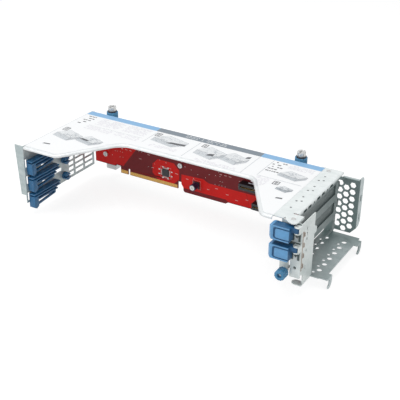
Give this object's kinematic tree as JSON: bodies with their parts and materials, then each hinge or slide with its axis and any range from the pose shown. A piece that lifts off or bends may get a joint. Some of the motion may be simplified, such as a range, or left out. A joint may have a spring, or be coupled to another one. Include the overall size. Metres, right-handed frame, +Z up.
{
  "type": "riser cage bracket",
  "caption": "Sheet-metal riser cage that holds full-length expansion cards on a riser board, with card guides, bracket latches, captive screws and a perforated side shroud.",
  "frame": {"origin": "middle of the bounding box in X and Y, at the tips of the lowest hooks in Z", "axes": "+X runs from the left end panel along the cage to the card brackets and the vent shroud, +Y from the open front to the rear wall and the riser board, +Z up through the top panel"},
  "size_m": [0.3622, 0.1515, 0.0917],
  "materials": {
    "galvanised_steel": "zinc-coated sheet, satin",
    "label_film": "printed white film",
    "cover_steel": "bright satin",
    "fastener_steel": "satin",
    "guide_blue": "moulded, satin",
    "latch_blue": "moulded, satin",
    "dark_ring": "dull",
    "finger_bronze": "springy strip",
    "board_red": "solder mask over laminate",
    "contact_gold": "gold plated",
    "connector_black": "moulded",
    "component_metal": "tinned",
    "capacitor_sleeve": "printed sleeve"
  },
  "bodies": {
    "root": {"top_panel": "galvanised_steel", "top_label": "label_film", "left_end_panel": "galvanised_steel", "end_panel_rivets": "fastener_steel", "card_guide_upper": "guide_blue", "card_guide_middle": "guide_blue", "card_guide_lower": "guide_blue", "guide_button_upper": "guide_blue", "guide_button_middle": "guide_blue", "guide_button_lower": "guide_blue", "bracket_wall": "galvanised_steel", "slot_cover_upper": "cover_steel", "slot_cover_middle": "cover_steel", "front_wall": "galvanised_steel", "contact_finger_strip": "finger_bronze", "vent_shroud": "galvanised_steel", "shroud_rivets": "fastener_steel", "latch_pin_upper": "fastener_steel", "latch_pin_lower": "fastener_steel", "captive_ferrule_left": "fastener_steel", "captive_ferrule_right": "fastener_steel", "front_ferrule": "fastener_steel", "riser_board": "board_red", "edge_contacts": "contact_gold", "slot_connector_upper": "connector_black", "slot_connector_middle": "connector_black", "slot_connector_lower": "connector_black", "main_chip": "connector_black", "board_components": "component_metal", "capacitor_can": "capacitor_sleeve", "capacitor_base": "connector_black", "board_screws": "fastener_steel", "board_standoffs": "fastener_steel"},
    "captive_slide_left": {"captive_ring_left": "dark_ring"},
    "captive_turn_left": {"captive_screw_left": "fastener_steel", "captive_knob_left": "latch_blue"},
    "captive_slide_right": {"captive_ring_right": "dark_ring"},
    "captive_turn_right": {"captive_screw_right": "fastener_steel", "captive_knob_right": "latch_blue"},
    "front_slide": {"front_ring": "dark_ring"},
    "front_turn": {"front_screw": "fastener_steel", "front_knob": "latch_blue"},
    "latch_upper_body": {"latch_upper": "latch_blue"},
    "latch_lower_body": {"latch_lower": "latch_blue"}
  },
  "joints": [
    {"name": "captive_left_press", "type": "slide", "parent": "root", "child": "captive_slide_left", "axis": [0, 0, -1], "range_m": [0, 0.0045], "stiffness_N_per_m": 300, "springref_m": -0.002},
    {"name": "captive_left_turn", "type": "hinge", "parent": "captive_slide_left", "child": "captive_turn_left", "pos_m": [-0.1468, 0.06825, 0.074], "axis": [0, 0, 1], "continuous": true},
    {"name": "captive_right_press", "type": "slide", "parent": "root", "child": "captive_slide_right", "axis": [0, 0, -1], "range_m": [0, 0.0045], "stiffness_N_per_m": 300, "springref_m": -0.002},
    {"name": "captive_right_turn", "type": "hinge", "parent": "captive_slide_right", "child": "captive_turn_right", "pos_m": [0.1007, 0.06825, 0.074], "axis": [0, 0, 1], "continuous": true},
    {"name": "front_screw_press", "type": "slide", "parent": "root", "child": "front_slide", "axis": [0, 1, 0], "range_m": [0, 0.0035], "stiffness_N_per_m": 300, "springref_m": -0.002},
    {"name": "front_screw_turn", "type": "hinge", "parent": "front_slide", "child": "front_turn", "pos_m": [0.1481, -0.06625, 0.0286], "axis": [0, 1, 0], "continuous": true},
    {"name": "latch_upper_swing", "type": "hinge", "parent": "root", "child": "latch_upper_body", "pos_m": [0.1594, -0.06725, 0.0773], "axis": [0, 0, 1], "range_deg": [0, 100]},
    {"name": "latch_lower_swing", "type": "hinge", "parent": "root", "child": "latch_lower_body", "pos_m": [0.1594, -0.06725, 0.05698], "axis": [0, 0, 1], "range_deg": [0, 100]}
  ]
}
